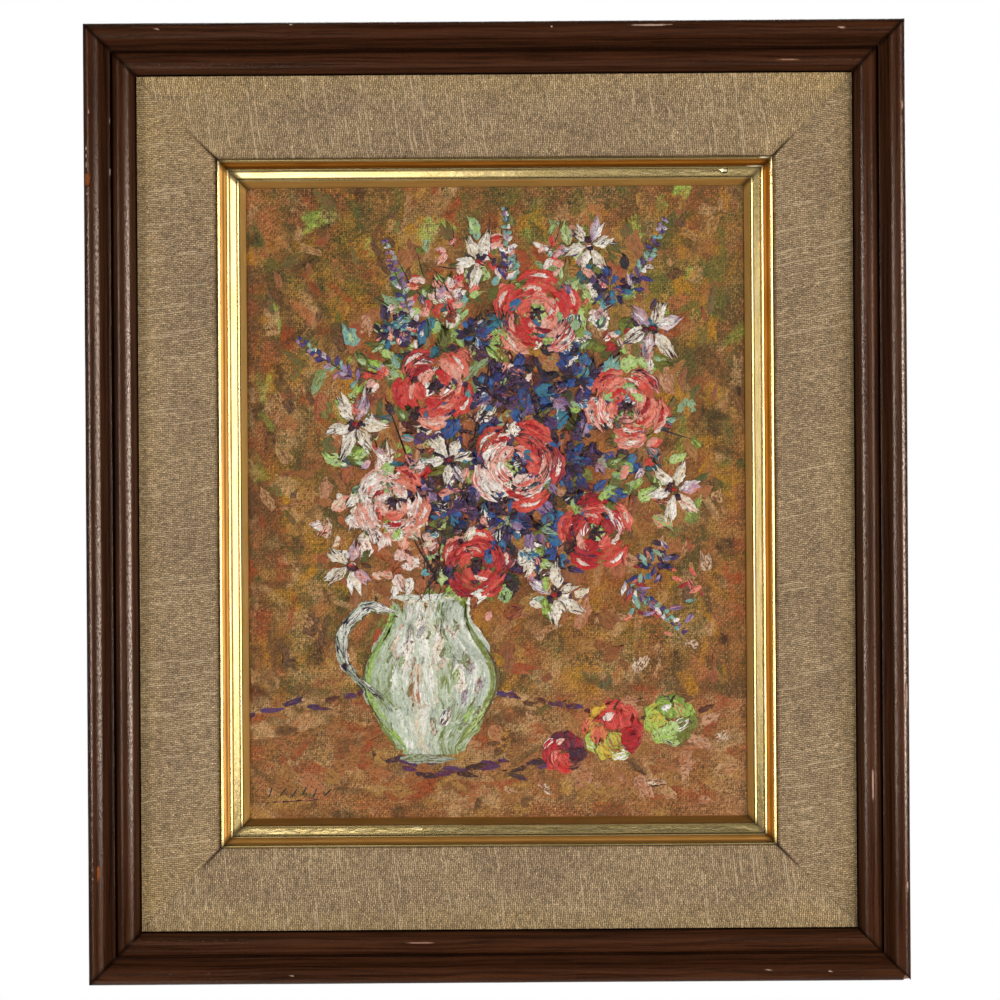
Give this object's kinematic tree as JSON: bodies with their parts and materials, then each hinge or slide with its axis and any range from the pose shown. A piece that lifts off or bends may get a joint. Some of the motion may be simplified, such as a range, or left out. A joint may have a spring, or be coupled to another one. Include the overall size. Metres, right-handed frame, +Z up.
{
  "type": "framed oil painting",
  "caption": "Small upright oil painting on board in a dark wood frame with a linen liner and a gilt slip, hung by a sawtooth plate on the back of the top rail.",
  "frame": {"origin": "middle of the hanger's raised back face, where it meets the wall", "axes": "+Z up as the picture hangs, +X to the viewer's right, -Y out of the wall towards the viewer"},
  "size_m": [0.3128, 0.0266, 0.3659],
  "materials": {
    "stained_wood": "dark walnut stain, satin, worn at the edges",
    "linen_on_wood": "wood covered in natural slubby linen, matt",
    "gilding": "wood gilded in a worn warm gold, glossy",
    "painted_canvas": "canvas board painted in thick oils, satin",
    "hanger_steel": "plain zinc-plated sheet"
  },
  "bodies": {
    "root": {"frame_rail_top": "stained_wood", "frame_rail_right": "stained_wood", "frame_rail_bottom": "stained_wood", "frame_rail_left": "stained_wood", "liner_rail_top": "linen_on_wood", "liner_rail_right": "linen_on_wood", "liner_rail_bottom": "linen_on_wood", "liner_rail_left": "linen_on_wood", "gilt_slip_top": "gilding", "gilt_slip_right": "gilding", "gilt_slip_bottom": "gilding", "gilt_slip_left": "gilding", "canvas_board": "painted_canvas", "hanger_plate": "hanger_steel"}
  },
  "joints": []
}
